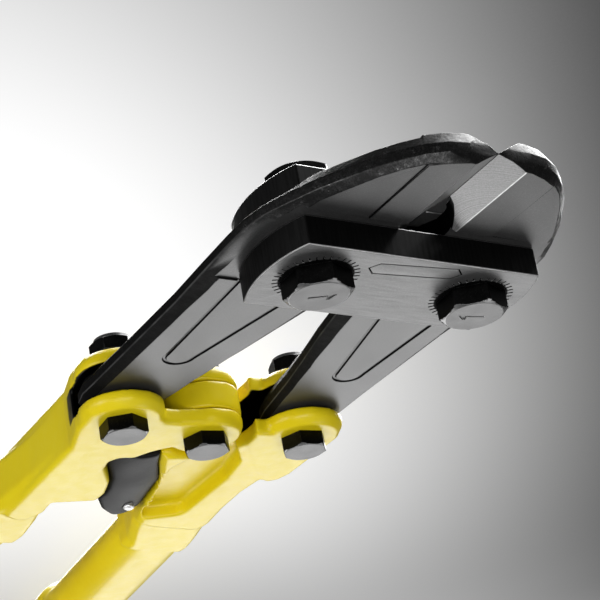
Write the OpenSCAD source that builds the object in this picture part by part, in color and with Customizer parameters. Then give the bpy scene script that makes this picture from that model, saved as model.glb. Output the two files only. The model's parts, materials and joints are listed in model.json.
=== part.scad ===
// Bolt cutters, 600 mm class: two forged jaws between two side plates,
// two forged fork handles, steel tubes and rubber grips.
// Tool plane is XY with the nose towards +Y, hex heads face +Z, the tool lies on its nuts.

/* [Head] */
// distance between the two head pivots (mm)
pivot_gap = 50.8; // [46:0.2:56]
// radius of the rounded ends of the side plates (mm)
plate_r = 41.2; // [38:0.1:45]
// front edge of the side plates ahead of the pivots (mm)
plate_front = 16.4; // [14:0.1:18]
// rear edge of the side plates behind the pivots (mm)
plate_rear = 18; // [16:0.1:20]
// outer face of a side plate above the middle of the tool (mm)
plate_out = 12; // [11:0.1:13]
// inner face of a side plate above the middle of the tool (mm)
plate_in = 3.2; // [3:0.1:4]
// hexagon across flats of the head pivot bolts (mm)
head_af = 17; // [16:0.5:19]
// height of the head pivot bolt heads (mm)
head_h = 5.7; // [5:0.1:7]

/* [Jaws] */
// tip of the cutting edge ahead of the pivots (mm)
nose_y = 52.9; // [48:0.1:56]
// width of the ground bevel on each jaw (mm)
bevel_w = 7.9; // [6:0.1:9]
// half thickness of the raised strip beside the bevel (mm)
strip_h = 4.45; // [4.2:0.05:5]
// half thickness of the rest of the jaw head (mm)
face_h = 4; // [3.8:0.1:4.4]
// half thickness of the hub between the plates (mm)
hub_h = 3.1; // [2.9:0.05:3.15]
// half thickness of the shanks (mm)
shank_h = 3.7; // [3.4:0.1:4.2]
// sideways place of the tail pivot (mm)
tail_x = 31.6; // [30:0.1:33]
// distance of the tail pivot behind the head pivots (mm)
tail_y = 100.5; // [98:0.1:103]

/* [Handles] */
// distance of the centre pivot behind the head pivots (mm)
centre_y = 106.5; // [104:0.1:109]
// half thickness of the forgings over their ears (mm)
ear_out = 10; // [9:0.1:11]
// half thickness of the arms (mm)
arm_h = 8.75; // [8:0.05:9.5]
// inner face of a fork ear above the middle of the tool (mm)
ear_in = 4.7; // [4.6:0.05:5]
// outward lean of each arm (degrees)
arm_lean = 6.7; // [5:0.1:9]
// length of arm, tube and grip together (mm)
arm_l = 354; // [300:1:400]
// outer diameter of the handle tubes (mm)
tube_d = 22; // [20:0.5:24]
// outer diameter of the rubber grips (mm)
grip_d = 32; // [28:0.5:36]

/* [Fasteners] */
// hexagon across flats of the tail and centre bolts (mm)
tail_af = 12.8; // [12:0.1:15]
// height of the tail and centre bolt heads (mm)
tail_h = 4.7; // [4:0.1:6]
// thread diameter of the tail and centre bolts (mm)
tail_d = 8; // [7:0.5:9]

/* [Hidden] */
$fn = 96;

px = pivot_gap / 2;
// lowest point of the tool below its middle, and the rear end of the grips
rest = 19.6;
// lowest point of the tail and centre nuts
tail_low = 17.3;
cam = 0.5;
arm_x = 31.75;
arm_y = -196;
end_y = arm_y - arm_l * cos(arm_lean) - (grip_d / 2 - 1.5) * sin(arm_lean);
front_y = 54;
mid_y = (front_y + end_y) / 2;
fit = 0.05;

steel = [0.36, 0.37, 0.38];
dark = [0.22, 0.23, 0.24];
yellow = [0.90, 0.76, 0.16];
black = [0.06, 0.06, 0.06];
zinc = [0.42, 0.42, 0.43];

// everything is drawn about the middle of the head pivots, then set in the shared frame
module placed(x = 0, y = 0) { translate([x, y - mid_y, rest]) children(); }

// miter offset of a closed clockwise outline: corner i moves inwards by d[i]
function unit(v) = v / norm(v);
function side(a, b) = unit([b[1] - a[1], a[0] - b[0]]);
function inset(p, d) = [for (i = [0 : len(p) - 1])
    let (n = len(p), a = side(p[(i + n - 1) % n], p[i]), b = side(p[i], p[(i + 1) % n]), m = unit(a + b))
    p[i] + m * (is_list(d) ? d[i] : d) / (m * a)];

// cap of a clockwise outline, one ear cut off at a time
function turn(o, a, b) = (a[0] - o[0]) * (b[1] - o[1]) - (a[1] - o[1]) * (b[0] - o[0]);
function inside(q, a, b, c) = turn(a, b, q) <= 0 && turn(b, c, q) <= 0 && turn(c, a, q) <= 0;
function is_ear(p, l, k) =
    let (n = len(l), i = l[(k + n - 1) % n], j = l[k], m = l[(k + 1) % n])
    turn(p[i], p[j], p[m]) < -1e-6
    && len([for (q = l) if (q != i && q != j && q != m && inside(p[q], p[i], p[j], p[m])) 1]) == 0;
function cap(p, l) = len(l) == 3 ? [l] :
    let (n = len(l), e = [for (k = [0 : n - 1]) if (is_ear(p, l, k)) k][0])
    concat([[l[(e + n - 1) % n], l[e], l[(e + 1) % n]]], cap(p, [for (k = [0 : n - 1]) if (k != e) l[k]]));

// forging draft: a slab between two outlines with the same number of corners
module draft_slab(lo, hi, z0, z1) {
    n = len(lo);
    all = [for (i = [0 : n - 1]) i];
    polyhedron(
        points = concat([for (v = lo) [v[0], v[1], z0]], [for (v = hi) [v[0], v[1], z1]]),
        faces = concat([for (t = cap(lo, all)) [t[2], t[1], t[0]]],
            [for (t = cap(hi, all)) [n + t[0], n + t[1], n + t[2]]],
            [for (i = [0 : n - 1]) [i, (i + 1) % n, n + i]],
            [for (i = [0 : n - 1]) [(i + 1) % n, n + (i + 1) % n, n + i]]));
}

// an outline forged to half thickness h, with its upper edges broken back by c over a height of b
module forged(p, h, c, b) {
    translate([0, 0, b - h]) linear_extrude(2 * (h - b)) polygon(p);
    for (s = [0, 1]) mirror([0, 0, s]) draft_slab(p, inset(p, c), h - b, h);
}

// the same for a disc
module forged_disc(r, h, c, b) {
    translate([0, 0, b - h]) cylinder(r = r, h = 2 * (h - b));
    for (s = [0, 1]) mirror([0, 0, s]) translate([0, 0, h - b]) cylinder(r1 = r, r2 = r - c, h = b);
}

// ---------- bolts, washers and nuts ----------
// hexagonal bar turned down to a round profile
module hex_piece(af, h, profile) {
    intersection() {
        cylinder(d = af / cos(30), h = h, $fn = 6);
        rotate_extrude() polygon(profile);
    }
}

// bolt head with a 30 degree chamfer on its outer face
module hex_head(af, h) {
    hex_piece(af, h, [[0, 0], [0.6 * af, 0], [0.6 * af, h - 0.0722 * af], [0.475 * af, h], [0, h]]);
}

// nut from z = 0 to h with both faces chamfered, the lower one standing on a round collar
module hex_nut(af, h, bore, collar) {
    c = 0.0722 * af;
    hex_piece(af, h, [
        [bore, 0], [0.45 * af, 0], [0.45 * af, collar], [0.475 * af, collar], [0.6 * af, collar + c],
        [0.6 * af, h - c], [0.475 * af, h], [bore, h]]);
}

// engraved arrow that shows which way the eccentric turns, with one barb on the side given by hand
module arrow(heading, hand) {
    rotate([0, 0, heading]) linear_extrude(2) {
        polygon([[-3, -0.32], [2.8, -0.32], [2.8, 0.32], [-3, 0.32]]);
        polygon([[2, -2 * hand], [2.7, -2.1 * hand], [4.8, 0.1 * hand], [4.2, 0.6 * hand],
                 [2.4, -0.3 * hand]]);
    }
}

// eccentric bolt: near journal, offset cam through the jaw, far journal, thread
module pivot_bolt(turn, heading, hand) {
    difference() {
        translate([0, 0, plate_out]) rotate([0, 0, turn]) hex_head(head_af, head_h);
        translate([0, 0, plate_out + head_h - 0.35]) arrow(heading, hand);
    }
    translate([0, 0, plate_in]) cylinder(r = 7, h = plate_out - plate_in + 0.5);
    translate([0, cam, -plate_in]) cylinder(r = 6.4, h = 2 * plate_in);
    translate([0, 0, -plate_out]) cylinder(r = 5.8, h = plate_out - plate_in);
    translate([0, 0, -rest + 0.4]) cylinder(r = 5, h = rest - plate_out);
}

module pivot_washer() {
    difference() {
        translate([0, 0, -plate_out - 1]) cylinder(r = 8.8, h = 1);
        translate([0, 0, -plate_out - 2]) cylinder(r = 5 + fit, h = 3);
    }
}

module pivot_nut(turn) {
    translate([0, 0, -rest]) rotate([0, 0, turn]) hex_nut(head_af, rest - plate_out - 1, 5 + fit, 0.3);
}

module tail_bolt(turn) {
    translate([0, 0, ear_out]) rotate([0, 0, turn]) hex_head(tail_af, tail_h);
    translate([0, 0, 0.5 - tail_low]) cylinder(d = tail_d, h = tail_low + ear_out);
}

module tail_washer() {
    difference() {
        translate([0, 0, -ear_out - 1.6]) cylinder(r = 7.8, h = 1.6);
        translate([0, 0, -ear_out - 2]) cylinder(r = tail_d / 2 + fit, h = 3);
    }
}

// locking nut: the collar is taller
module tail_nut(turn) {
    translate([0, 0, -tail_low]) rotate([0, 0, turn])
        hex_nut(tail_af, tail_low - ear_out - 1.6, tail_d / 2 + fit, 1);
}

// ---------- head ----------
module plate_shape() {
    intersection() {
        translate([0, -1]) circle(r = plate_r);
        translate([-60, -plate_rear]) square([120, plate_rear + plate_front]);
    }
}

// ring of tick marks around a pivot, for reading the eccentric
module ticks(step) {
    for (a = [0 : step : 359])
        rotate([0, 0, a]) translate([10.1, -0.34, plate_out - 0.35]) cube([1.9, 0.68, 1]);
}

module side_plate_near() {
    difference() {
        translate([0, 0, plate_in]) linear_extrude(plate_out - plate_in) plate_shape();
        for (s = [-1, 1]) {
            translate([s * px, 0, 0]) cylinder(r = 7 + fit, h = 20);
            translate([s * px, 0, 0]) ticks(10);
        }
        // blank panel with pointed ends: only its border groove is cut
        translate([0.2, 10, plate_out - 0.3]) rotate([0, 0, 6]) linear_extrude(1) difference() {
            polygon([[-14.5, 0], [-12, 3], [12, 3], [14.5, 0], [12, -3], [-12, -3]]);
            polygon([[-13.9, 0], [-11.8, 2.5], [11.8, 2.5], [13.9, 0], [11.8, -2.5], [-11.8, -2.5]]);
        }
    }
}

module side_plate_far() {
    difference() {
        translate([0, 0, -plate_out]) linear_extrude(plate_out - plate_in) plate_shape();
        for (s = [-1, 1])
            translate([s * px, 0, -20]) cylinder(r = 5.8 + fit, h = 40);
    }
}

// ---------- jaws ----------
// outline of the right jaw at its parting band, clockwise from the nose round the outside to the
// tail eye and back up the inner side: x, y, set-back of the near face, set-back of the far face
edge_x = 0.12;
band_near = 1.8;
band_far = 1;
// the raised strip stands a little higher on the far side
strip_far = 4.8;
jaw_line = [
    [edge_x, nose_y, 0.3, 0.3], [4.4, 53.6, 0.7, 1.4], [9.8, front_y, 1.1, 1.7], [15.8, 52.9, 1.9, 1.9],
    [21, 50.1, 1.8, 2], [25.8, 45.8, 1.6, 2], [30.3, 40.6, 1.9, 2.1], [34.6, 34.2, 2.3, 2.4],
    [39, 27.2, 2.7, 2.7], [43.6, 17.4, 5, 5], [46.2, 10.6, 7, 7], [47.4, 3, 8, 8], [47.3, -6, 8, 8],
    [46.4, -22, 6, 6], [45.2, -40, 4.4, 4.4], [44.5, -70, 3.9, 3.9], [44, -95, 3.2, 3.2],
    [44, -100.5, 2.2, 2.2], [42.3, -106.7, 2, 2], [37.8, -111.2, 2, 2], [31.6, -112.9, 2, 2],
    [25.4, -111.2, 2, 2], [20.9, -106.7, 2, 2], [19, -100.5, 2, 2], [17.4, -92, 2, 2],
    [15.4, -81, 2.4, 2.4], [12, -66, 3.2, 3.2], [7.8, -49, 4.6, 4.6], [4.3, -32, 5.4, 5.4],
    [3, -20, 3, 3], [2.4, -10, 1.4, 1.4], [1.6, 0, 0.8, 0.8], [1.6, 10, 0.8, 0.8],
    [3.4, 15.6, 0.8, 0.8], [edge_x, 20, 0, 0]];
jaw_outline = [for (v = jaw_line) [v[0], v[1]]];
near_back = [for (v = jaw_line) v[2]];
far_back = [for (v = jaw_line) v[3]];

// panel outline, stepped inwards by t
module shank_panel(t) {
    polygon([[12.2 + t, -12], [36.8 - t, -12], [34 - t, -66.5], [24.4 + t, -68]]);
    translate([29.2, -67.6]) circle(r = 4.9 - t);
}

module jaw_right() {
    difference() {
        union() {
            translate([0, 0, -band_far]) linear_extrude(band_far + band_near) polygon(jaw_outline);
            draft_slab(jaw_outline, inset(jaw_outline, near_back), band_near, strip_h);
            mirror([0, 0, 1])
                draft_slab(jaw_outline, inset(jaw_outline, far_back), band_far, strip_far);
        }
        for (s = [0, 1]) mirror([0, 0, s]) {
            // ground bevel down to the cutting edge
            translate([0, 80, 0]) rotate([90, 0, 0]) linear_extrude(61) {
                top = s == 0 ? strip_h : strip_far;
                polygon([[edge_x, 0.1], [bevel_w, top], [bevel_w, 12], [-8, 12], [-8, 0.1]]);
            }
            // lower face outside the raised strip, then the thinner hub behind the step
            translate([20, 20.4, face_h]) cube([40, 60, 5]);
            translate([-5, -20.6, hub_h]) cube([60, 41, 5]);
            translate([-5, -120, shank_h]) cube([60, 100, 5]);
            // groove round a long tapered panel on the shank
            translate([0, 0, shank_h - 0.45]) linear_extrude(5) difference() {
                shank_panel(0);
                shank_panel(1);
            }
        }
        // throat between the jaws, behind the cutting edges
        translate([0, 0, -10]) linear_extrude(20)
            polygon([[-1, 31], [0.2, 30.5], [2.2, 28.6], [4.2, 25.6], [6, 22], [7.2, 18.6],
                     [7.6, 14], [5, 9], [-1, 8]]);
        translate([px, cam, -10]) cylinder(r = 6.4 + fit, h = 20);
        translate([tail_x, -tail_y, -10]) cylinder(r = tail_d / 2 + fit, h = 20);
    }
}

module jaw_left() { mirror([1, 0, 0]) jaw_right(); }

// ---------- handles ----------
// puts children at distance s down the right-hand arm, their Z axis along the arm
module down_arm(s) {
    translate([arm_x, arm_y, 0]) rotate([0, 0, arm_lean]) translate([0, -s, 0]) rotate([90, 0, 0]) children();
}

// oval arm running into a round socket for the tube
module arm() {
    for (s = [-4, 4])
        translate([arm_x, arm_y, 0]) rotate([0, 0, arm_lean]) translate([s, 12, 0])
            rotate([90, 0, 0]) cylinder(r = arm_h, h = 106);
    translate([arm_x, arm_y, 0]) rotate([0, 0, arm_lean]) translate([-4, -94, -arm_h])
        cube([8, 106, 2 * arm_h]);
    down_arm(82) cylinder(r1 = 9.5, r2 = 13.6, h = 10);
    down_arm(92) cylinder(r = 13.6, h = 26);
}

module socket() {
    down_arm(76) cylinder(r = tube_d / 2 - 3, h = 50);
    down_arm(82) cylinder(r = tube_d / 2 + fit, h = 50);
    down_arm(106) rotate([90, 0, 0]) translate([0, 0, -20]) cylinder(r = 2.5 + fit, h = 40);
}

// left handle, drawn on the right-hand side and mirrored: a fork with a lug on each ear
fork_core = [
    [10, -112], [40, -112], [38.6, -124], [38.2, -150], [39.6, -172], [43, -190], [44.4, -197], [43.8, -203],
    [20, -203], [19, -195], [20.6, -184], [23, -172], [24.4, -163.6], [11.6, -159.8], [11, -153],
    [13.6, -145], [20.4, -135], [21.4, -129], [19.6, -126.2], [15, -125.2]];
fork_ear = [
    [0, -95.4], [7, -96.4], [13, -98], [18, -98], [24, -93.4], [33, -92], [43.6, -98], [42.6, -110],
    [38.8, -122], [37.6, -150], [36.4, -176], [30, -179.6], [26.4, -177], [24.2, -171], [25, -163.4],
    [11.2, -159.4], [11, -153], [13.6, -145], [20.4, -135], [21.4, -129], [19.6, -126.2], [15, -125.2],
    [11.6, -119.8], [7.2, -115.6]];

module handle_left() {
    mirror([1, 0, 0]) difference() {
        union() {
            forged(fork_core, arm_h, 2.4, 2.6);
            forged(fork_ear, ear_out, 1, 1);
            translate([tail_x, -tail_y, 0]) forged_disc(13, ear_out, 2.2, 2.5);
            translate([0, -centre_y, 0]) forged_disc(12, ear_out, 1.4, 2.5);
            arm();
        }
        socket();
        // slot of the fork: room for the jaw tail and for the middle lug of the other handle
        translate([0, 0, -ear_in]) linear_extrude(2 * ear_in)
            polygon([[-20, -124], [2, -124], [10, -120.6], [15.4, -114.6], [26, -113.6], [31.6, -114.6],
                     [37.2, -113.6], [41, -111], [60, -108], [60, -80], [-20, -80]]);
        translate([tail_x, -tail_y, -20]) cylinder(r = tail_d / 2 + fit, h = 40);
        translate([0, -centre_y, -20]) cylinder(r = tail_d / 2 + fit, h = 40);
    }
}

// right handle: a fork round the jaw tail, with a single lug in its middle for the centre bolt
lug_ear = [
    [14, -99.4], [24, -99.4], [33, -92], [43.8, -98], [43.6, -128], [42, -133.2], [38.6, -135.6],
    [35, -133.8], [27, -124.5], [21.4, -116.4], [15.4, -109]];
lug_core = [
    [16, -104], [43.6, -104], [41, -118], [37.8, -133], [36.6, -146], [37.4, -160], [39.8, -176],
    [43.2, -190], [44.4, -197], [43.8, -203], [20, -203], [19, -196], [13.6, -182], [9.3, -166.2],
    [5.9, -146.9], [-2.9, -131.2], [-6.2, -123.3], [4, -119.4]];
pocket = [
    [-8, -112], [14, -112], [21.4, -122], [24, -136], [24.4, -163.6], [23.2, -166.6], [12.4, -172.4],
    [10.6, -168], [9.6, -160], [6.2, -147], [2.6, -138], [1.8, -131], [4, -123.4], [0, -121]];
lug_top = [
    [16, -104], [43.6, -104], [41, -118], [37.8, -133], [36.6, -146], [37.4, -160], [39.4, -174],
    [38.4, -178.6], [35, -180.6], [18.8, -180], [12.6, -177.4], [9.3, -166.2], [5.9, -146.9],
    [-2.9, -131.2], [-6.2, -123.3], [4, -119.4]];

module handle_right() {
    lug_h = ear_in - 0.3;
    difference() {
        union() {
            difference() {
                union() {
                    forged(lug_core, arm_h, 2.4, 2.6);
                    forged(lug_top, arm_h + 0.7, 2, 1.8);
                    forged(lug_ear, ear_out, 1, 1);
                    translate([tail_x, -tail_y, 0]) forged_disc(13, ear_out, 2.2, 2.5);
                }
                translate([0, -centre_y, -20]) cylinder(r = 15.9, h = 40);
                // slot for the tail of the jaw
                translate([0, 0, -ear_in]) linear_extrude(2 * ear_in)
                    polygon([[0, -80], [0, -108], [20, -113], [26, -114], [31.6, -114.8], [37.2, -113.6],
                             [41, -111], [60, -108], [60, -80]]);
                // pocket between the outer flange and the inner rib, on both sides
                for (s = [0, 1]) mirror([0, 0, s])
                    translate([0, 0, lug_h]) linear_extrude(20) polygon(pocket);
            }
            // middle lug around the centre pivot
            translate([0, -centre_y, -lug_h]) cylinder(r = 12, h = 2 * lug_h);
            translate([0, 0, -lug_h]) linear_extrude(2 * lug_h)
                polygon([[-5, -114], [9.6, -112], [18, -113.4], [24, -117], [24, -132], [0, -128],
                         [-5.6, -122]]);
            arm();
        }
        socket();
        translate([tail_x, -tail_y, -20]) cylinder(r = tail_d / 2 + fit, h = 40);
        // the centre hole is long so that the fixed-ratio couplings stay clear of the bolt
        translate([0, -centre_y, 0]) rotate([0, 0, -20]) translate([0, 0, -20]) linear_extrude(40) {
            circle(r = tail_d / 2 + 0.65);
            translate([3.4, 0]) circle(r = tail_d / 2 + 0.65);
            translate([0, -tail_d / 2 - 0.65]) square([3.4, tail_d + 1.3]);
        }
        // threaded seat of the bumper screw
        bumper_screw_shape(0);
    }
}

// ---------- bumper ----------
screw_x = -1.6;
screw_y = -157;

module bumper_shape() {
    polygon([[-20.4, -128.6], [-17, -127], [-12, -126.4], [-6.4, -123.4], [-3.1, -131.2], [5.7, -146.9],
             [9.1, -166.2], [8.2, -169.6], [5.6, -172], [1, -172.4], [-5, -168], [-9.8, -161.4],
             [-9.7, -158.6], [-10.1, -152.9], [-12.9, -144.6], [-19.5, -135]]);
}

module bumper_screw_shape(gap) {
    translate([screw_x, screw_y, 0]) rotate([0, 90, 10]) translate([0, 0, -2])
        cylinder(r = 2.5 - gap, h = 22);
}

module bumper() {
    difference() {
        translate([0, 0, -8.6]) linear_extrude(17.2) bumper_shape();
        translate([screw_x, screw_y, 0]) rotate([0, 90, 10]) translate([0, 0, -3]) cylinder(r = 2.5, h = 30);
        translate([screw_x, screw_y, 0]) rotate([0, 90, 10]) translate([0, 0, -20]) cylinder(r = 4.6, h = 18);
        translate([3.4, -164.8, -7.2]) cylinder(r = 1.5 + fit, h = 20);
    }
}

// dowel through the bumper, with a domed end standing a little proud of its near face
module bumper_pin() {
    translate([3.4, -164.8, -7]) cylinder(r = 1.5, h = 15.6);
    translate([3.4, -164.8, 8.6]) rotate_extrude()
        polygon([[0, 0], [1.9, 0], [1.8, 0.35], [1.3, 0.7], [0.6, 0.9], [0, 0.95]]);
}

module bumper_screw() {
    bumper_screw_shape(fit);
    translate([screw_x, screw_y, 0]) rotate([0, 90, 10]) translate([0, 0, -4.8]) cylinder(r = 4.3, h = 2.8);
}

// ---------- tubes and grips ----------
module tube() {
    difference() {
        down_arm(82) cylinder(d = tube_d, h = arm_l - 82 - 6);
        down_arm(80) cylinder(d = tube_d - 4, h = arm_l);
        down_arm(106) rotate([90, 0, 0]) translate([0, 0, -20]) cylinder(r = 2.5 + fit, h = 40);
    }
}

module tube_pin() {
    down_arm(106) rotate([90, 0, 0]) translate([0, 0, -13.8]) difference() {
        cylinder(r = 2.5, h = 27.6);
        translate([0, 0, -1]) cylinder(r = 1.4, h = 30);
    }
}

grip_s = arm_l - 140;
gr = grip_d / 2;

module grip() {
    down_arm(grip_s) rotate_extrude() {
        difference() {
            union() {
                polygon([[tube_d / 2, 0], [14.5, 0], [17.4, 3], [18.8, 7], [17.4, 11], [gr, 16], [gr, 118],
                         [gr + 0.9, 126], [gr + 1.2, 134], [gr + 0.4, 136], [tube_d / 2, 136]]);
                translate([18.1, 7]) circle(r = 1.5);
            }
            for (i = [0 : 15]) translate([gr, 22 + 6 * i]) square([1.6, 2.4], center = true);
        }
    }
}

module grip_cap() {
    down_arm(arm_l - 4) cylinder(r = gr, h = 2.5);
    down_arm(arm_l - 1.5) cylinder(r1 = gr, r2 = gr - 1.5, h = 1.5);
    down_arm(arm_l - 22) cylinder(r = tube_d / 2 - 2 - fit, h = 18);
    down_arm(arm_l - 6) cylinder(r = tube_d / 2 - 1, h = 2);
}

color(steel) placed() side_plate_near();
color(steel) placed() side_plate_far();
color(zinc) placed(-px) pivot_bolt(35, 26, 1);  // pivot_bolt_left
color(zinc) placed(px) pivot_bolt(37, 190, -1);  // pivot_bolt_right
color(zinc) placed(-px) pivot_washer();  // pivot_washer_left
color(zinc) placed(px) pivot_washer();  // pivot_washer_right
color(zinc) placed(-px) pivot_nut(12);  // pivot_nut_left
color(zinc) placed(px) pivot_nut(41);  // pivot_nut_right
color(dark) placed() jaw_left();
color(dark) placed() jaw_right();
color(yellow) placed() handle_left();
color(yellow) placed() handle_right();
color(zinc) placed(-tail_x, -tail_y) tail_bolt(36);  // tail_bolt_left
color(zinc) placed(tail_x, -tail_y) tail_bolt(8);  // tail_bolt_right
color(zinc) placed(-tail_x, -tail_y) tail_washer();  // tail_washer_left
color(zinc) placed(tail_x, -tail_y) tail_washer();  // tail_washer_right
color(zinc) placed(-tail_x, -tail_y) tail_nut(20);  // tail_nut_left
color(zinc) placed(tail_x, -tail_y) tail_nut(47);  // tail_nut_right
color(zinc) placed(0, -centre_y) tail_bolt(10);  // centre_bolt
color(zinc) placed(0, -centre_y) tail_washer();  // centre_washer
color(zinc) placed(0, -centre_y) tail_nut(33);  // centre_nut
color(black) placed() bumper();
color(zinc) placed() bumper_screw();
color(zinc) placed() bumper_pin();
color(yellow) placed() mirror([1, 0, 0]) tube();  // tube_left
color(yellow) placed() tube();  // tube_right
color(zinc) placed() mirror([1, 0, 0]) tube_pin();  // tube_pin_left
color(zinc) placed() tube_pin();  // tube_pin_right
color(black) placed() mirror([1, 0, 0]) grip();  // grip_left
color(black) placed() grip();  // grip_right
color(black) placed() mirror([1, 0, 0]) grip_cap();  // grip_cap_left
color(black) placed() grip_cap();  // grip_cap_right
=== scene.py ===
"""Bolt cutters: finishes, rounded forgings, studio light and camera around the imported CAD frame."""
import json
import math

import bmesh
import bpy
from mathutils import Euler, Matrix, Vector


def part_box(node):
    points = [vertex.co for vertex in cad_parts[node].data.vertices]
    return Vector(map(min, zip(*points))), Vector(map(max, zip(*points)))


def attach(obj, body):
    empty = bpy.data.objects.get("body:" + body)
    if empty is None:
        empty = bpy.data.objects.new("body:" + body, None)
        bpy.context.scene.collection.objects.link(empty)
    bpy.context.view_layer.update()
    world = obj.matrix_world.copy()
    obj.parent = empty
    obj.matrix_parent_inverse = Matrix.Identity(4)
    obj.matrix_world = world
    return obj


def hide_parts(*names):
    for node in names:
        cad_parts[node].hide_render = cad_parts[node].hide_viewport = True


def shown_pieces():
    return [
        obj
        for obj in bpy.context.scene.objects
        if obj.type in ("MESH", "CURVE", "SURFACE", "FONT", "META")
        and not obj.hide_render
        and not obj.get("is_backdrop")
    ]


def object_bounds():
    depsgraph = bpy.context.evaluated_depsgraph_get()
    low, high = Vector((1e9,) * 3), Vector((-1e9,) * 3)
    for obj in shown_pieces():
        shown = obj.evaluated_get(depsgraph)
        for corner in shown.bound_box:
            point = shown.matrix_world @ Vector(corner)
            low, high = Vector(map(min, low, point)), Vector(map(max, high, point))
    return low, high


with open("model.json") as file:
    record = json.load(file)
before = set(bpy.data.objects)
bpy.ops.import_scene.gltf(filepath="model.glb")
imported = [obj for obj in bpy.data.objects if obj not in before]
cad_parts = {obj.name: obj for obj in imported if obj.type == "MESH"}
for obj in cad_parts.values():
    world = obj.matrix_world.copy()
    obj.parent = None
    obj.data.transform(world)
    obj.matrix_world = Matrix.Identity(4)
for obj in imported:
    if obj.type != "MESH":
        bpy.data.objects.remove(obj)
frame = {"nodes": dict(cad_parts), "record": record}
CAD_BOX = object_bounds()
NODES = frame["nodes"]
MM = 0.001

scene = bpy.context.scene


# ---------- places taken from the frame ----------
def centre(node):
    lo, hi = (Vector(corner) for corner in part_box(node))
    return (lo + hi) / 2


BOLT_LEFT = centre("pivot_bolt_left")
BOLT_RIGHT = centre("pivot_bolt_right")
TAIL_LEFT = centre("tail_bolt_left")
TAIL_RIGHT = centre("tail_bolt_right")
BUMPER = centre("bumper")
HEAD_Y = BOLT_LEFT.y
PLATE_LOW, PLATE_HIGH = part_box("side_plate_near")
JAW_LOW, JAW_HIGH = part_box("jaw_left")
MID_Z = centre("jaw_left").z
# half the thickness of a jaw, which is just under half the gap of a handle's fork
JAW_HALF = (JAW_HIGH[2] - JAW_LOW[2]) / 2

# ---------- sizes used by the finishes ----------
# radius of the ring of painted shade round each head pivot bolt, and the length of the ticks outside
# it
RING = 10.1 * MM
TICK = 2 * MM
# sideways places of the jaws' step and bevel border
STEP = 20.1 * MM
BEVEL = 7.9 * MM
# height of the upper edge of the jaws' parting band above MID_Z
BAND = 1.8 * MM
# centre of the circles in which the bevels are ground, and grinding marks per metre
GRIND_CENTRE = (26 * MM, HEAD_Y + 26 * MM, MID_Z)
GRIND_MARKS = 4200.0
# centre of the painted shade in the throat behind the cutting edges
THROAT = (0, HEAD_Y + 17 * MM, MID_Z)
# radius of the painted shade round each tail bolt, inside the forks
FORK_SHADE_REACH = 18.5 * MM

# specular level of each finish
PLATE_GLOSS = 0.5
JAW_GLOSS = 0.3
FASTENER_GLOSS = 0.36
PAINT_GLOSS = 0.27
RUBBER_GLOSS = 0.05


# ---------- shader helpers ----------
class Tree:
    """A material's node tree with short calls for the nodes used here."""

    def __init__(self, name):
        self.material = bpy.data.materials.new(name)
        self.material.use_nodes = True
        self.nodes = self.material.node_tree.nodes
        self.links = self.material.node_tree.links
        self.shader = self.nodes["Principled BSDF"]
        coords = self.nodes.new("ShaderNodeTexCoord")
        self.place = coords.outputs["Object"]
        self.normal = coords.outputs["Normal"]

    def put(self, value, socket):
        if isinstance(value, bpy.types.NodeSocket):
            self.links.new(value, socket)
        else:
            socket.default_value = value

    def add(self, kind, inputs, **settings):
        node = self.nodes.new("ShaderNode" + kind)
        for key, value in settings.items():
            setattr(node, key, value)
        for key, value in inputs.items():
            self.put(value, node.inputs[key])
        return node

    def math(self, operation, *values, clamp=False):
        inputs = dict(enumerate(values))
        return self.add("Math", inputs, operation=operation, use_clamp=clamp).outputs[0]

    def both(self, *masks):
        """Where every mask is on."""
        result = masks[0]
        for mask in masks[1:]:
            result = self.math("MULTIPLY", result, mask)
        return result

    def either(self, *masks):
        """Where any mask is on."""
        result = masks[0]
        for mask in masks[1:]:
            result = self.math("MAXIMUM", result, mask)
        return result

    def total(self, *weighted):
        """Sum of (socket, weight) pairs."""
        result = None
        for socket, weight in weighted:
            part = self.math("MULTIPLY", socket, weight)
            result = part if result is None else self.math("ADD", result, part)
        return result

    def span(self, value, lo, hi, to_lo=0.0, to_hi=1.0):
        """Value between lo and hi, smoothly mapped to to_lo and to_hi."""
        inputs = {"Value": value, "From Min": lo, "From Max": hi, "To Min": to_lo, "To Max": to_hi}
        return self.add("MapRange", inputs, interpolation_type="SMOOTHSTEP").outputs[0]

    def noise(self, per_metre, detail, roughness, stretch=None, turn=0.0):
        place = self.place
        if stretch:
            inputs = {"Vector": place, "Rotation": (0, 0, turn), "Scale": stretch}
            place = self.add("Mapping", inputs).outputs[0]
        inputs = {"Vector": place, "Scale": per_metre, "Detail": detail, "Roughness": roughness}
        return self.add("TexNoise", inputs).outputs["Fac"]

    def mix(self, factor, a, b):
        return self.add("Mix", {0: factor, 6: a, 7: b}, data_type="RGBA").outputs[2]

    def mix_value(self, factor, a, b):
        return self.add("Mix", {0: factor, 2: a, 3: b}, data_type="FLOAT").outputs[0]

    def bump(self, height, distance, strength):
        inputs = {"Height": height, "Distance": distance, "Strength": strength}
        return self.add("Bump", inputs).outputs[0]

    def axis(self, socket, index):
        return self.add("SeparateXYZ", {0: socket}).outputs[index]

    def tilt(self):
        """1 on level faces, 0 on upright walls."""
        return self.math("ABSOLUTE", self.axis(self.normal, 2))

    def off(self, value, level):
        """How far value is from level, either way."""
        return self.math("ABSOLUTE", self.math("SUBTRACT", value, level))

    def distance(self, point):
        inputs = {0: self.place, 1: point}
        return self.add("VectorMath", inputs, operation="DISTANCE").outputs["Value"]

    def finish(self, **sockets):
        for key, value in sockets.items():
            self.put(value, self.shader.inputs[key.replace("_", " ")])
        return self.material


def grey(level):
    return (level, level, level, 1)


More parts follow.
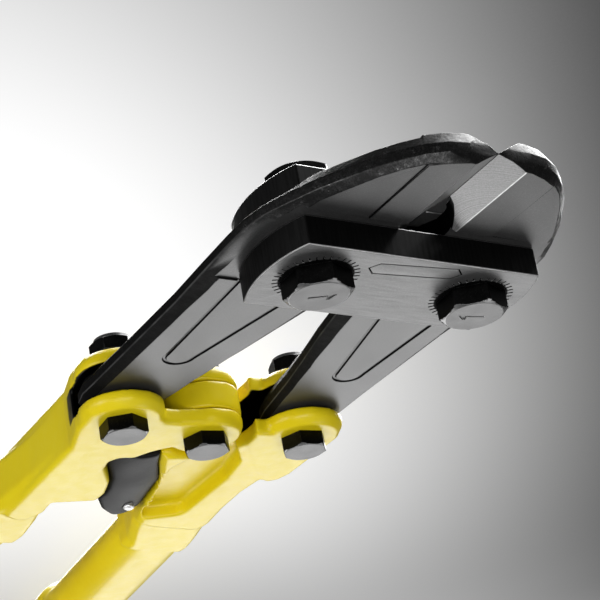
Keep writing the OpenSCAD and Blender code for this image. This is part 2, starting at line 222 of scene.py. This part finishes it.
# ---------- materials ----------
def plate_steel():
    """Black-oxide plate: satin broad faces with a fine grain, darker machined edges."""
    t = Tree("plate_black_oxide")
    tilt = t.tilt()
    broad = t.span(tilt, 0.5, 0.9)
    grain = t.noise(2600, 2, 0.7)
    cloud = t.noise(60, 4, 0.6)
    strokes = t.noise(500, 3, 0.6, stretch=(0.25, 2.2, 1.0), turn=0.12)
    milled = t.noise(900, 2, 0.5, stretch=(1.0, 1.0, 0.12))
    face = t.mix(t.span(cloud, 0.3, 0.75), grey(0.020), grey(0.034))
    face = t.mix(t.span(grain, 0.45, 0.8), face, grey(0.06))
    edge = t.mix(t.span(milled, 0.3, 0.7), grey(0.016), grey(0.028))

    # painted shade: the floors of marks cut into the near face, and a ring round each bolt with the
    # tick walls in it, are painted near-black
    depth = t.math("SUBTRACT", PLATE_HIGH[2], t.axis(t.place, 2))
    below = t.span(depth, 0.02 * MM, 0.08 * MM)
    hollow_shade = t.both(t.span(depth, 0.08 * MM, 0.2 * MM), t.span(depth, 0.7 * MM, 0.6 * MM),
                  t.span(tilt, 0.95, 0.99))
    for bolt in (BOLT_LEFT, BOLT_RIGHT):
        reach = t.distance((bolt.x, bolt.y, PLATE_HIGH[2]))
        walls = t.both(below, t.span(reach, RING + TICK + 0.1 * MM, RING + TICK))
        hollow_shade = t.either(hollow_shade, t.span(reach, RING + 0.5 * MM, RING), walls)

    # the broken edge is painted bright: partly wear, partly a painted highlight along the edge
    bright_edge = t.both(t.span(tilt, 0.3, 0.5), t.span(tilt, 0.97, 0.88),
                  t.span(cloud, 0.25, 0.55, 0.5, 1.0))
    colour = t.mix(hollow_shade, t.mix(broad, edge, face), grey(0.003))
    colour = t.mix(bright_edge, colour, grey(0.42))
    rough = t.mix_value(broad, t.span(milled, 0.2, 0.8, 0.5, 0.4),
                        t.span(strokes, 0.2, 0.8, 0.34, 0.44))
    rough = t.mix_value(hollow_shade, rough, 0.95)
    metal = t.either(t.span(broad, 0.0, 0.5, 1.0, 0.0), hollow_shade, bright_edge)
    height = t.mix_value(broad, milled, t.total((grain, 0.5), (strokes, 0.5)))
    return t.finish(Base_Color=colour, Metallic=metal, Roughness=rough,
                    Normal=t.bump(height, 0.06 * MM, 0.6), Specular_IOR_Level=PLATE_GLOSS)


def jaw_steel():
    """Forged tool steel: satin faces, ground bevels with curved marks, dark rough flanks."""
    t = Tree("jaw_forged")
    tilt = t.tilt()
    across = t.math("ABSOLUTE", t.axis(t.place, 0))
    along = t.axis(t.place, 1)
    grain = t.noise(2400, 2, 0.7)
    cloud = t.noise(55, 4, 0.65)
    scale = t.noise(420, 5, 0.7)
    lumps = t.noise(140, 3, 0.6)

    # where each finish lies
    face = t.span(tilt, 0.93, 0.985)
    bevel = t.math("SUBTRACT", t.span(tilt, 0.82, 0.86), face, clamp=True)
    bevel = t.both(bevel, t.span(along, HEAD_Y + 18 * MM, HEAD_Y + 20 * MM),
                   t.span(across, 8.4 * MM, 7.8 * MM))
    nose = t.span(along, HEAD_Y - 20 * MM, HEAD_Y + 20 * MM)
    blade = t.span(along, HEAD_Y + 20 * MM, HEAD_Y + 21 * MM)

    face_colour = t.mix(t.span(cloud, 0.3, 0.75), grey(0.014), grey(0.026))
    face_colour = t.mix(t.span(grain, 0.45, 0.85), face_colour, grey(0.045))

    # flanks: bright spots of scale at the nose, and a painted highlight along the shank's parting
    # band
    flank = t.mix(t.span(scale, 0.35, 0.7), grey(0.022), grey(0.06))
    flank = t.mix(t.span(scale, 0.60, 0.75), flank, grey(0.30))
    flank = t.mix(t.span(grain, 0.55, 0.35), flank, grey(0.02))
    ridge_highlight = t.span(t.off(t.axis(t.place, 2), MID_Z + BAND), 0.35 * MM, 0.1 * MM)
    ridge_highlight = t.both(ridge_highlight, t.span(cloud, 0.3, 0.7, 0.3, 1.0))
    flank = t.mix(nose, t.mix(ridge_highlight, grey(0.012), grey(0.16)), flank)

    # grinding marks run in arcs across the bevels
    turns = t.math("MULTIPLY", t.distance(GRIND_CENTRE), GRIND_MARKS)
    marks = t.add("TexNoise", {"W": turns, "Scale": 1.0, "Detail": 4.0}, noise_dimensions="1D")
    marks = t.mix_value(0.4, marks.outputs["Fac"], grain)
    ground = t.mix(t.span(marks, 0.3, 0.7), grey(0.16), grey(0.30))

    side_rough = t.mix_value(nose, t.span(scale, 0.2, 0.8, 0.8, 0.62),
                             t.span(scale, 0.2, 0.8, 0.52, 0.36))
    face_rough = t.mix_value(nose, t.span(cloud, 0.2, 0.8, 0.29, 0.37),
                             t.span(cloud, 0.2, 0.8, 0.40, 0.50))
    rough = t.mix_value(bevel, t.mix_value(face, side_rough, face_rough), 0.34)
    colour = t.mix(bevel, t.mix(face, flank, face_colour), ground)

    # painted shade: the throat behind the cutting edges is painted near-black
    turned = t.either(t.span(tilt, 0.5, 0.3), t.span(t.axis(t.normal, 0), 0.2, 0.4))
    throat_shade = t.both(t.span(t.distance(THROAT), 15 * MM, 9.5 * MM), turned)
    rough = t.mix_value(throat_shade, rough, 0.95)
    colour = t.mix(throat_shade, colour, grey(0.002))

    # painted shade: a dark line along the step beside the raised strip
    step_shade = t.both(t.span(t.off(across, STEP), 0.38 * MM, 0.15 * MM), blade, face)
    colour = t.mix(step_shade, colour, grey(0.003))
    rough = t.mix_value(step_shade, rough, 0.9)

    # painted highlight: a bright line along the right bevel's border
    border_highlight = t.both(t.span(t.off(across, BEVEL), 0.26 * MM, 0.08 * MM), blade,
                  t.span(tilt, 0.8, 0.85), t.span(t.axis(t.place, 0), 0.0, MM))
    colour = t.mix(border_highlight, colour, grey(0.6))

    metal = t.either(t.mix_value(bevel, t.math("SUBTRACT", 1.0, face), 0.7), step_shade, border_highlight)
    height = t.mix_value(face, t.total((scale, 0.8), (lumps, 1.6)), t.total((grain, 0.22)))
    height = t.mix_value(bevel, height, t.total((marks, 0.14)))
    return t.finish(Base_Color=colour, Metallic=metal, Roughness=rough,
                    Normal=t.bump(height, 0.25 * MM, 0.5), Specular_IOR_Level=JAW_GLOSS)


def fastener_steel():
    """Gunmetal bolts, nuts and washers: dark sides, a bright worn chamfer."""
    t = Tree("fastener_gunmetal")
    tilt = t.tilt()
    grain = t.noise(2000, 2, 0.7)
    cloud = t.noise(160, 4, 0.6)
    bright_edge = t.both(t.span(tilt, 0.4, 0.7), t.span(tilt, 0.985, 0.93))
    colour = t.mix(t.span(cloud, 0.3, 0.75), grey(0.008), grey(0.016))
    colour = t.mix(t.span(grain, 0.5, 0.85), colour, grey(0.03))
    colour = t.mix(bright_edge, colour, grey(0.22))
    metal = t.either(t.span(tilt, 0.2, 0.5, 1.0, 0.0), bright_edge)
    rough = t.span(cloud, 0.2, 0.8, 0.32, 0.42)
    return t.finish(Base_Color=colour, Metallic=metal, Roughness=rough,
                    Normal=t.bump(grain, 0.05 * MM, 0.5), Specular_IOR_Level=FASTENER_GLOSS)


def bright_pin():
    """Zinc-plated dowel with faint marks."""
    t = Tree("bright_zinc")
    marks = t.noise(900, 3, 0.6)
    colour = t.mix(t.span(marks, 0.3, 0.7), grey(0.75), grey(0.92))
    return t.finish(Base_Color=colour, Metallic=0.5, Roughness=t.span(marks, 0.2, 0.8, 0.36, 0.48),
                    Normal=t.bump(marks, 0.03 * MM, 0.5))


def yellow_paint(name, forged):
    """Yellow enamel: slight orange peel, over a cast skin on the forgings."""
    t = Tree(name)
    cloud = t.noise(25, 4, 0.6)
    peel = t.noise(700, 2, 0.5)
    skin = t.noise(240, 5, 0.65)
    specks = t.noise(1500, 2, 0.6)
    colour = t.mix(t.span(cloud, 0.3, 0.75), (0.71, 0.55, 0.004, 1), (0.77, 0.62, 0.010, 1))
    colour = t.mix(t.span(specks, 0.74, 0.82), colour, (0.40, 0.28, 0.02, 1))
    fork_shade = 0.0
    if forged:
        # painted shade: the inside of the forks is painted near-black and metallic
        inside = t.span(t.off(t.axis(t.place, 2), MID_Z), JAW_HALF + 0.3 * MM, JAW_HALF)
        beside = [t.span(t.distance((bolt.x, bolt.y, MID_Z)), FORK_SHADE_REACH + 1.5 * MM, FORK_SHADE_REACH)
                  for bolt in (TAIL_LEFT, TAIL_RIGHT)]
        fork_shade = t.both(inside, t.either(*beside))
        colour = t.mix(fork_shade, colour, grey(0.004))
    height = t.total((peel, 0.25), (skin, 0.9 if forged else 0.1))
    return t.finish(Base_Color=colour, Metallic=fork_shade, Roughness=t.span(skin, 0.3, 0.7, 0.30, 0.42),
                    Coat_Weight=0.08, Coat_Roughness=0.2, Normal=t.bump(height, 0.22 * MM, 0.5),
                    Specular_IOR_Level=PAINT_GLOSS)


def rubber(name, level, rough_lo, rough_hi):
    t = Tree(name)
    grain = t.noise(1600, 3, 0.7)
    cloud = t.noise(70, 3, 0.6)
    colour = t.mix(t.span(cloud, 0.3, 0.7), grey(level), grey(level * 1.7))
    return t.finish(Base_Color=colour, Roughness=t.span(cloud, 0.2, 0.8, rough_lo, rough_hi),
                    Normal=t.bump(grain, 0.08 * MM, 0.6), Specular_IOR_Level=RUBBER_GLOSS)


MATERIALS = {
    "plate_steel": plate_steel(),
    "jaw_steel": jaw_steel(),
    "fastener_steel": fastener_steel(),
    "handle_paint": yellow_paint("handle_enamel", True),
    "tube_paint": yellow_paint("tube_enamel", False),
    "grip_rubber": rubber("grip_rubber", 0.018, 0.55, 0.75),
    "zinc": bright_pin(),
    "bumper_rubber": rubber("bumper_rubber", 0.006, 0.36, 0.48),
}
# pieces that look different from the rest of their slot
OWN_FINISH = {"bumper_pin": "zinc"}


# ---------- pieces ----------
# vertices closer than this are one, and faces flatter than this are joined
WELD = 1e-6
FLAT = math.radians(0.3)
# edges bent more than SHARP get broken, and those still bent more than CREASE shade as creases
SHARP = math.radians(24)
CREASE = math.radians(50)


def body_of(node):
    bodies = frame["record"]["behaviour"]["bodies"]
    return next(body for body, members in bodies.items() if node in members)


def new_piece(node, tag):
    """A copy of a CAD node's mesh, welded, that will stand for the node."""
    mesh = bpy.data.meshes.new(node + tag)
    bm = bmesh.new()
    bm.from_mesh(NODES[node].data)
    bmesh.ops.remove_doubles(bm, verts=bm.verts, dist=WELD)
    bmesh.ops.dissolve_limit(bm, angle_limit=FLAT, verts=bm.verts, edges=bm.edges)
    bm.to_mesh(mesh)
    if "custom_normal" in mesh.attributes:
        mesh.attributes.remove(mesh.attributes["custom_normal"])
    piece = bpy.data.objects.new(node + tag, mesh)
    scene.collection.objects.link(piece)
    return piece, bm


def settle(piece, node, slot):
    """Applies a piece's modifiers and puts it on its body in place of its node."""
    bpy.context.view_layer.update()
    evaluated = piece.evaluated_get(bpy.context.evaluated_depsgraph_get())
    final = bpy.data.meshes.new_from_object(evaluated)
    piece.modifiers.clear()
    piece.data = final
    piece.data.materials.clear()
    piece.data.materials.append(MATERIALS[OWN_FINISH.get(node, slot)])
    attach(piece, body_of(node))
    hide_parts(node)


def machined(node, slot, width, chosen, segments=2):
    """Breaks a node's sharp edges by width, where chosen(edge) says so."""
    piece, bm = new_piece(node, "_finished")
    sharp = [edge for edge in bm.edges if len(edge.link_faces) == 2
             and edge.calc_face_angle(0) > SHARP and chosen(edge)]
    bmesh.ops.bevel(bm, geom=sharp, offset=width, offset_type="OFFSET", segments=segments,
                    profile=0.5, affect="EDGES", clamp_overlap=False)
    for face in bm.faces:
        face.smooth = True
    bm.to_mesh(piece.data)
    bm.free()
    piece.data.set_sharp_from_angle(angle=CREASE)
    weigh = piece.modifiers.new("weigh", "WEIGHTED_NORMAL")
    weigh.keep_sharp = True
    settle(piece, node, slot)


def forge(node, slot, voxel, rounds, shape=None):
    """A rounded skin over a CAD forging: remeshed, then its edges are relaxed."""
    piece, bm = new_piece(node, "_forging")
    bm.free()
    remesh = piece.modifiers.new("skin", "REMESH")
    remesh.mode = "VOXEL"
    remesh.voxel_size = voxel
    relax = piece.modifiers.new("relax", "SMOOTH")
    relax.factor = 0.5
    relax.iterations = rounds
    settle(piece, node, slot)
    if shape:
        for vertex in piece.data.vertices:
            vertex.co = shape(vertex.co)
    for polygon in piece.data.polygons:
        polygon.use_smooth = True


# the bumper's crown: direction across it, half its width, rise in the middle, drop at the sides
CROWN_ACROSS = (0.98, 0.2)
CROWN_HALF = 12 * MM
CROWN_RISE = 1.02
CROWN_DROP = 0.36


def crowned(co):
    """Rounds the bumper's faces off towards its sides."""
    across = (co.x - BUMPER.x) * CROWN_ACROSS[0] + (co.y - BUMPER.y) * CROWN_ACROSS[1]
    share = min(1.0, (across / CROWN_HALF) ** 2)
    return Vector((co.x, co.y, MID_Z + (co.z - MID_Z) * (CROWN_RISE - CROWN_DROP * share)))


# the centre of a side plate's arcs lies this far behind the pivots
ARC_BACK = 1 * MM


def outline_edge(edge):
    """True for the outer edges of a side plate, away from its bolt holes, ticks and panel."""
    front = PLATE_HIGH[1] - 0.1 * MM
    rear = PLATE_LOW[1] + 0.1 * MM
    arc = (PLATE_HIGH[0] - PLATE_LOW[0]) / 2 - 0.15 * MM
    return all(v.co.y > front or v.co.y < rear
               or math.hypot(v.co.x, v.co.y - HEAD_Y + ARC_BACK) > arc for v in edge.verts)


def long_edge(edge):
    return edge.calc_length() > 0.5 * MM


def jaw_edge(edge):
    """Leaves the cutting edge and very short edges sharp."""
    cutting = all(abs(v.co.x) < 0.5 * MM and v.co.y > HEAD_Y + 19 * MM for v in edge.verts)
    return long_edge(edge) and not cutting


SLOT = {part["node"]: part["material_slot"] for part in frame["record"]["subparts"]}
# width of the broken edges of each slot
EDGE = {"plate_steel": 0.5 * MM, "jaw_steel": 0.22 * MM, "fastener_steel": 0.16 * MM,
        "tube_paint": 0.2 * MM, "grip_rubber": 0.4 * MM}

for name, slot in SLOT.items():
    if slot == "handle_paint":
        forge(name, slot, voxel=0.7 * MM, rounds=6)
    elif name == "bumper":
        forge(name, slot, voxel=0.5 * MM, rounds=20, shape=crowned)
    elif slot == "plate_steel":
        machined(name, slot, EDGE[slot], outline_edge, segments=3)
    elif slot == "jaw_steel":
        machined(name, slot, EDGE[slot], jaw_edge)
    else:
        machined(name, slot, EDGE[slot], long_edge)

# ---------- floor ----------
FLOOR_HALF = 6.0
FLOOR_GAP = 0.02 * MM
# direction in which the backdrop's painted light falls off from white to grey, and the middle of its
# painted pool of light
FADE = math.radians(44)
GLOW = (-55 * MM, 144 * MM, 0)
# levels of the backdrop: the darkest place, and far away
DARKEST = 0.09
FAR_LEVEL = 0.62


def paper():
    """Backdrop that glows by itself, with a painted pool of light that falls off: white behind the
    handles, grey behind the jaws.
    """
    t = Tree("floor_paper")
    inputs = {0: t.place, 1: (math.cos(FADE), math.sin(FADE), 0)}
    along = t.add("VectorMath", inputs, operation="DOT_PRODUCT").outputs["Value"]
    away = t.distance(GLOW)
    level = t.both(t.span(along, 0.07, 0.29, 1.1, 0.0), t.span(away, 0.05, 0.35, 1.0, 0.40))
    level = t.math("MAXIMUM", level, DARKEST)
    level = t.mix_value(t.span(away, 0.38, 0.66), level, FAR_LEVEL)
    return t.finish(Base_Color=t.mix(t.noise(900, 2, 0.5), grey(0.05), grey(0.07)), Roughness=0.9,
                    Emission_Color=t.mix(level, grey(0.0), grey(1.0)), Emission_Strength=1.0)


def studio_floor():
    """A level sheet under the tool that casts no light and no shadow on it."""
    bm = bmesh.new()
    bmesh.ops.create_grid(bm, x_segments=2, y_segments=2, size=FLOOR_HALF)
    mesh = bpy.data.meshes.new("floor")
    bm.to_mesh(mesh)
    bm.free()
    mesh.materials.append(paper())
    floor = bpy.data.objects.new("floor", mesh)
    floor.location = (0, 0, CAD_BOX[0][2] - FLOOR_GAP)
    floor.visible_shadow = False
    floor.visible_diffuse = False
    floor.visible_glossy = False
    scene.collection.objects.link(floor)
    floor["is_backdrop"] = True


# ---------- light ----------
# direction from the head of the tool, distance (m), size (m) and power (W) of each light
LIGHTS = {
    "key": ((0.50, -0.75, 0.42), 1.3, (0.9, 0.8), 8),
    "grind": ((-0.09, -0.73, 0.67), 1.2, (0.4, 0.4), 2),
    "front": ((-0.35, 0.76, 0.60), 1.2, (0.8, 0.7), 8),
    "top": ((0.50, 0.15, 0.85), 1.2, (0.4, 0.4), 2),
    "left": ((-0.95, 0.05, 0.25), 1.2, (0.7, 0.7), 8),
    "rim": ((0.50, -0.55, -0.60), 1.1, (1.0, 0.8), 30),
    "below": ((0.52, 0.15, -0.85), 1.1, (0.6, 0.5), 13),
}
AMBIENT = 0.12


def studio_lights():
    """Area lights aimed at the head, which reach only the tool, and a faint even light."""
    head = Vector((0, HEAD_Y, MID_Z))
    on_tool = bpy.data.collections.new("lit_tool")
    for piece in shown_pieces():
        on_tool.objects.link(piece)
    for name, (towards, distance, size, power) in LIGHTS.items():
        light = bpy.data.lights.new(name, "AREA")
        light.shape = "RECTANGLE"
        light.size, light.size_y = size
        light.energy = power
        lamp = bpy.data.objects.new(name, light)
        lamp.light_linking.receiver_collection = on_tool
        lamp.location = head + distance * Vector(towards)
        lamp.rotation_euler = (head - lamp.location).to_track_quat("-Z", "Y").to_euler()
        scene.collection.objects.link(lamp)
    world = bpy.data.worlds.new("studio")
    world.use_nodes = True
    background = world.node_tree.nodes["Background"]
    background.inputs["Color"].default_value = (1, 1, 1, 1)
    background.inputs["Strength"].default_value = AMBIENT
    scene.world = world
    scene.view_settings.view_transform = "Standard"


# ---------- camera ----------
# the photograph's viewpoint as fitted, in metres, and the camera's turns about X, Y and Z
# in degrees; the lens is in millimetres
CAMERA_PLACE = (-0.3367, 0.6763, 0.2903)
CAMERA_TURNS = (-64.122, -8.974, 31.098)
LENS = 133.47


def photo_camera():
    data = bpy.data.cameras.new("camera")
    data.sensor_width = 36
    data.lens = LENS
    data.clip_start = 0.01
    camera = bpy.data.objects.new("camera", data)
    turns = Euler([math.radians(turn) for turn in CAMERA_TURNS])
    camera.matrix_world = Matrix.Translation(CAMERA_PLACE) @ turns.to_matrix().to_4x4()
    scene.collection.objects.link(camera)
    scene.camera = camera


studio_floor()
studio_lights()
photo_camera()
